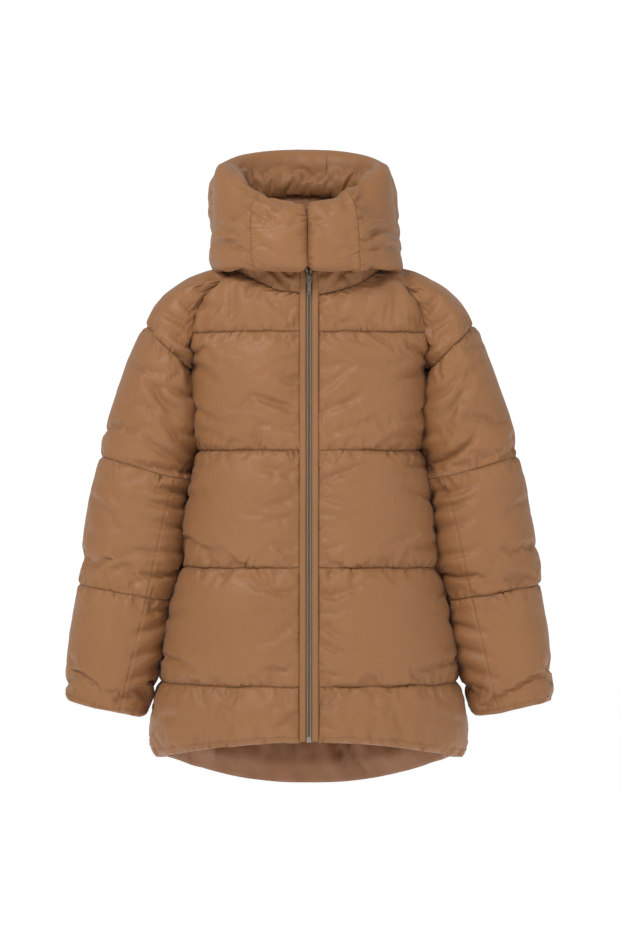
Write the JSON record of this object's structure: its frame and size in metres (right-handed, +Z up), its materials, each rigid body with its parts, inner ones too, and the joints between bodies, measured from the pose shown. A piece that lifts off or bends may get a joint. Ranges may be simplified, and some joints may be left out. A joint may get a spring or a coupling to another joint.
{
  "type": "quilted puffer coat",
  "caption": "Hip-length quilted padded coat with raglan sleeves, a tall turned-over collar, a metal front zip and a hem that dips at the back, standing as if worn.",
  "frame": {"origin": "the point where a hook bears on the underside of the hang loop, inside the back of the neck", "axes": "+Z up, -Y the way the wearer faces, +X the wearer's left"},
  "size_m": [0.744, 0.341, 0.9999],
  "materials": {
    "shell_fabric": "soft satin nylon, caramel brown",
    "lining_fabric": "plain satin lining, caramel brown",
    "trim_fabric": "matte woven tape",
    "label_fabric": "matte woven label, blank",
    "zip_metal": "worn nickel"
  },
  "bodies": {
    "coat_body": {"left_front_yoke_baffle": "shell_fabric", "left_front_chest_baffle": "shell_fabric", "left_front_waist_baffle": "shell_fabric", "left_front_hip_baffle": "shell_fabric", "left_front_hem_baffle": "shell_fabric", "right_front_yoke_baffle": "shell_fabric", "right_front_chest_baffle": "shell_fabric", "right_front_waist_baffle": "shell_fabric", "right_front_hip_baffle": "shell_fabric", "right_front_hem_baffle": "shell_fabric", "back_yoke_baffle": "shell_fabric", "back_chest_baffle": "shell_fabric", "back_waist_baffle": "shell_fabric", "back_hip_baffle": "shell_fabric", "back_hem_baffle": "shell_fabric", "left_shoulder_baffle": "shell_fabric", "left_collar_front_fall": "shell_fabric", "left_collar_side_fall": "shell_fabric", "left_collar_stand": "shell_fabric", "left_zip_welt": "shell_fabric", "left_front_lining": "lining_fabric", "left_shoulder_lining": "lining_fabric", "left_zip_tape": "trim_fabric", "left_zip_teeth": "zip_metal", "left_zip_top_stop": "zip_metal", "right_shoulder_baffle": "shell_fabric", "right_collar_front_fall": "shell_fabric", "right_collar_side_fall": "shell_fabric", "right_collar_stand": "shell_fabric", "right_zip_welt": "shell_fabric", "right_front_lining": "lining_fabric", "right_shoulder_lining": "lining_fabric", "right_zip_tape": "trim_fabric", "right_zip_teeth": "zip_metal", "right_zip_top_stop": "zip_metal", "back_lining": "lining_fabric", "wind_flap": "lining_fabric", "zip_retainer_box": "zip_metal", "zip_insertion_pin": "zip_metal", "hang_loop": "trim_fabric", "neck_tape": "trim_fabric", "blank_label": "label_fabric"},
    "zip_slider": {"zip_slider": "zip_metal"},
    "zip_puller": {"zip_puller": "zip_metal"},
    "left_upper_sleeve": {"left_upper_arm_baffle": "shell_fabric", "left_upper_arm_lining": "lining_fabric"},
    "left_forearm": {"left_forearm_baffle": "shell_fabric", "left_cuff_baffle": "shell_fabric", "left_cuff_band": "trim_fabric", "left_forearm_lining": "lining_fabric"},
    "right_upper_sleeve": {"right_upper_arm_baffle": "shell_fabric", "right_upper_arm_lining": "lining_fabric"},
    "right_forearm": {"right_forearm_baffle": "shell_fabric", "right_cuff_baffle": "shell_fabric", "right_cuff_band": "trim_fabric", "right_forearm_lining": "lining_fabric"}
  },
  "joints": [
    {"name": "zip_slide", "type": "slide", "parent": "coat_body", "child": "zip_slider", "axis": [0, -0.0827, -0.9966], "range_m": [0, 0.678]},
    {"name": "zip_puller_swing", "type": "hinge", "parent": "zip_slider", "child": "zip_puller", "pos_m": [0, -0.16251, -0.03083], "axis": [-1, 0, 0], "range_deg": [0, 150]},
    {"name": "left_sleeve_lift", "type": "hinge", "parent": "coat_body", "child": "left_upper_sleeve", "pos_m": [0.2772, -0.0435, -0.1264], "axis": [0, -1, 0], "range_deg": [0, 70]},
    {"name": "left_elbow_bend", "type": "hinge", "parent": "left_upper_sleeve", "child": "left_forearm", "pos_m": [0.26814, -0.1225, -0.35919], "axis": [-0.9597, 0, -0.2809], "range_deg": [0, 60]},
    {"name": "right_sleeve_lift", "type": "hinge", "parent": "coat_body", "child": "right_upper_sleeve", "pos_m": [-0.2772, -0.0435, -0.1264], "axis": [0, 1, 0], "range_deg": [0, 70]},
    {"name": "right_elbow_bend", "type": "hinge", "parent": "right_upper_sleeve", "child": "right_forearm", "pos_m": [-0.26814, -0.1225, -0.35919], "axis": [-0.9597, 0, 0.2809], "range_deg": [0, 60]}
  ]
}
